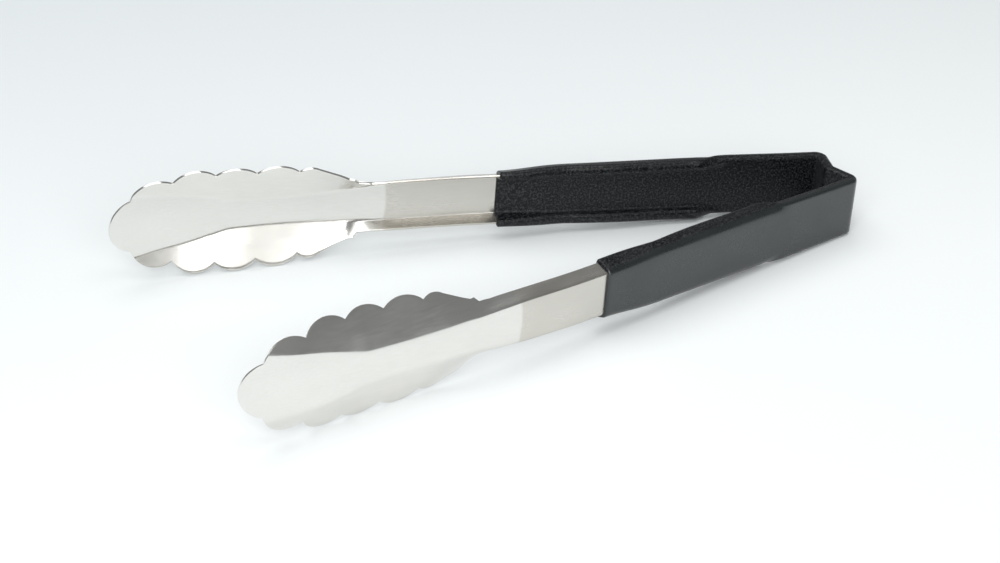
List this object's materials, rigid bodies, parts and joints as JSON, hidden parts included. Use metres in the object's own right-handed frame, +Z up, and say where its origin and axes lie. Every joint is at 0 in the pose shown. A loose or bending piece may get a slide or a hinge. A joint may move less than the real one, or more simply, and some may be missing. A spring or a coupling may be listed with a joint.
{
  "type": "kitchen tongs",
  "caption": "Stamped steel utility tongs with scalloped heads, channelled arms and a dipped vinyl grip; the bent strip is its own spring.",
  "frame": {"origin": "centre of the footprint's box, on the surface that the tongs lie on, with the arms open at rest", "axes": "+X from the tips to the folded back, +Y from the left arm to the right arm, +Z up; the arms mirror each other about Y = 0"},
  "size_m": [0.297, 0.136, 0.0457],
  "materials": {
    "steel": "satin stainless sheet, buffed brighter on the heads",
    "vinyl": "black dipped vinyl with a fine grain and a soft sheen"
  },
  "bodies": {
    "spring_bow": {"spring_bow_steel": "steel", "spring_bow_coat": "vinyl"},
    "left_arm": {"left_arm_steel": "steel", "left_grip_coat": "vinyl"},
    "right_arm": {"right_arm_steel": "steel", "right_grip_coat": "vinyl"}
  },
  "joints": [
    {"name": "left_flex", "type": "hinge", "parent": "spring_bow", "child": "left_arm", "pos_m": [0.13047, -0.01647, 0.01357], "axis": [-0.0397, 0, -0.9992], "range_deg": [-6, 13.3], "stiffness_Nm_per_rad": 6.4},
    {"name": "right_flex", "type": "hinge", "parent": "spring_bow", "child": "right_arm", "pos_m": [0.13047, 0.01647, 0.01357], "axis": [0.0397, 0, 0.9992], "range_deg": [-6, 13.3], "stiffness_Nm_per_rad": 6.4}
  ]
}
